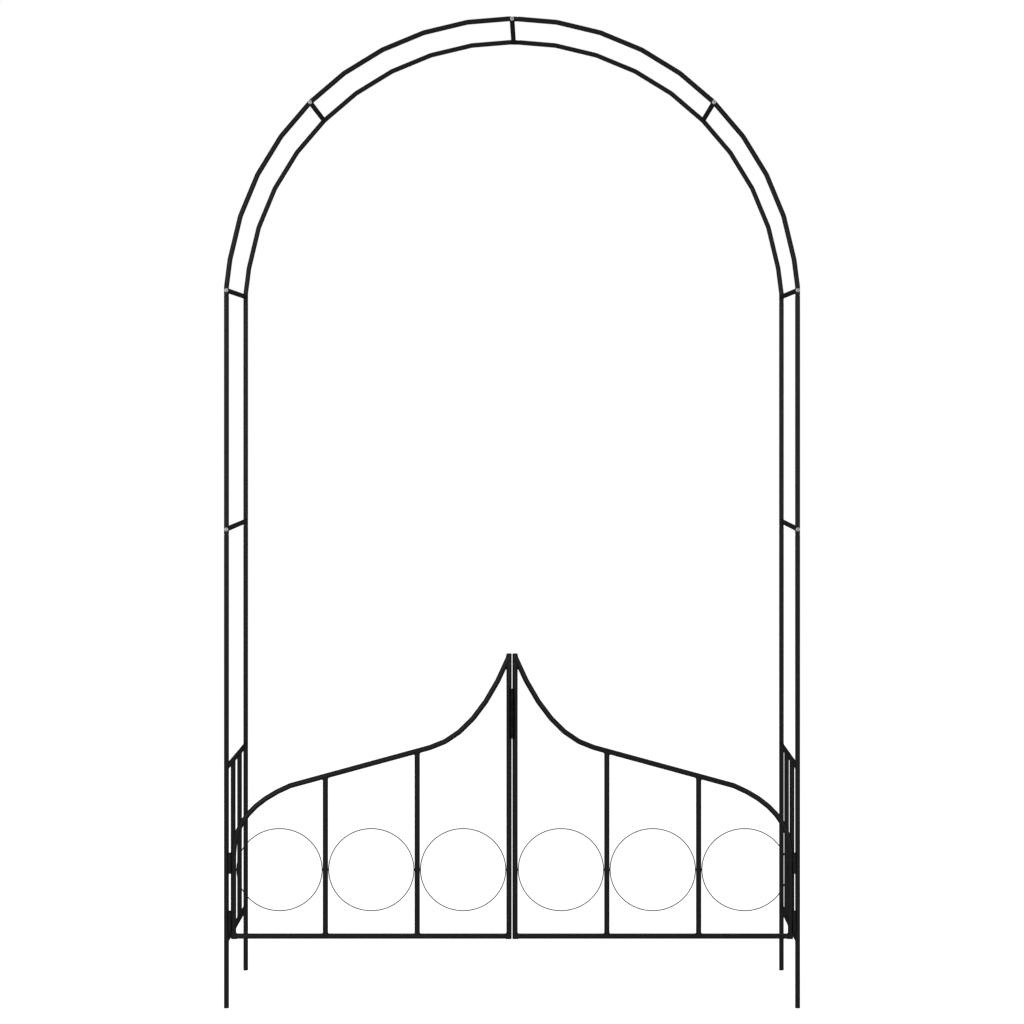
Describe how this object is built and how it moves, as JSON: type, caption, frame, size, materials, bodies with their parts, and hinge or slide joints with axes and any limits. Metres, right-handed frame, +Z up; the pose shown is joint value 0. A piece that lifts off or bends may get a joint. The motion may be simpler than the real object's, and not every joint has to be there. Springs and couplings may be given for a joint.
{
  "type": "garden arch with gate",
  "caption": "Freestanding garden arch of bolted steel tube with a round top, barred side panels and a low hinged gate with wire rings that sweeps up to a central point.",
  "frame": {"origin": "on the ground, in the middle of the four feet", "axes": "+X to the viewer's right across the arch, +Y from the gate side to the rear, +Z up"},
  "size_m": [1.38, 0.4275, 2.3759],
  "materials": {
    "black_powder_coat": "satin black powder coat",
    "bright_zinc": "bright zinc plate"
  },
  "bodies": {
    "arch": {"front_left_lower_post": "black_powder_coat", "front_left_upper_post": "black_powder_coat", "front_left_arc": "black_powder_coat", "front_right_lower_post": "black_powder_coat", "front_right_upper_post": "black_powder_coat", "front_right_arc": "black_powder_coat", "rear_left_lower_post": "black_powder_coat", "rear_left_upper_post": "black_powder_coat", "rear_left_arc": "black_powder_coat", "rear_right_lower_post": "black_powder_coat", "rear_right_upper_post": "black_powder_coat", "rear_right_arc": "black_powder_coat", "crossbar_left_low": "black_powder_coat", "crossbar_left_high": "black_powder_coat", "crossbar_left_arc": "black_powder_coat", "crossbar_crown": "black_powder_coat", "crossbar_right_arc": "black_powder_coat", "crossbar_right_high": "black_powder_coat", "crossbar_right_low": "black_powder_coat", "tie_bolt_left_low": "bright_zinc", "tie_bolt_left_high": "bright_zinc", "tie_bolt_left_arc": "bright_zinc", "tie_bolt_crown": "bright_zinc", "tie_bolt_right_arc": "bright_zinc", "tie_bolt_right_high": "bright_zinc", "tie_bolt_right_low": "bright_zinc", "left_panel_bottom_rail": "black_powder_coat", "left_panel_top_rail": "black_powder_coat", "left_panel_bar_1": "black_powder_coat", "left_panel_bar_2": "black_powder_coat", "left_post_lower_hinge_pintle": "black_powder_coat", "left_post_upper_hinge_pintle": "black_powder_coat", "right_panel_bottom_rail": "black_powder_coat", "right_panel_top_rail": "black_powder_coat", "right_panel_bar_1": "black_powder_coat", "right_panel_bar_2": "black_powder_coat", "right_post_lower_hinge_pintle": "black_powder_coat", "right_post_upper_hinge_pintle": "black_powder_coat"},
    "left_leaf": {"left_leaf_frame_tube": "black_powder_coat", "left_leaf_inner_stile": "black_powder_coat", "left_leaf_bottom_rail": "black_powder_coat", "left_leaf_bar_1": "black_powder_coat", "left_leaf_bar_2": "black_powder_coat", "left_leaf_ring_1": "black_powder_coat", "left_leaf_ring_2": "black_powder_coat", "left_leaf_ring_3": "black_powder_coat", "left_leaf_lower_hinge_knuckle": "black_powder_coat", "left_leaf_upper_hinge_knuckle": "black_powder_coat", "left_leaf_latch_plate": "black_powder_coat"},
    "right_leaf": {"right_leaf_frame_tube": "black_powder_coat", "right_leaf_inner_stile": "black_powder_coat", "right_leaf_bottom_rail": "black_powder_coat", "right_leaf_bar_1": "black_powder_coat", "right_leaf_bar_2": "black_powder_coat", "right_leaf_ring_1": "black_powder_coat", "right_leaf_ring_2": "black_powder_coat", "right_leaf_ring_3": "black_powder_coat", "right_leaf_lower_hinge_knuckle": "black_powder_coat", "right_leaf_upper_hinge_knuckle": "black_powder_coat", "right_leaf_latch_plate": "black_powder_coat"}
  },
  "joints": [
    {"name": "left_leaf_swing", "type": "hinge", "parent": "arch", "child": "left_leaf", "pos_m": [-0.67596, -0.20055, 0.209], "axis": [0, 0, -1], "range_deg": [-35, 170]},
    {"name": "right_leaf_swing", "type": "hinge", "parent": "arch", "child": "right_leaf", "pos_m": [0.67596, -0.20055, 0.209], "axis": [0, 0, 1], "range_deg": [-35, 170]}
  ]
}
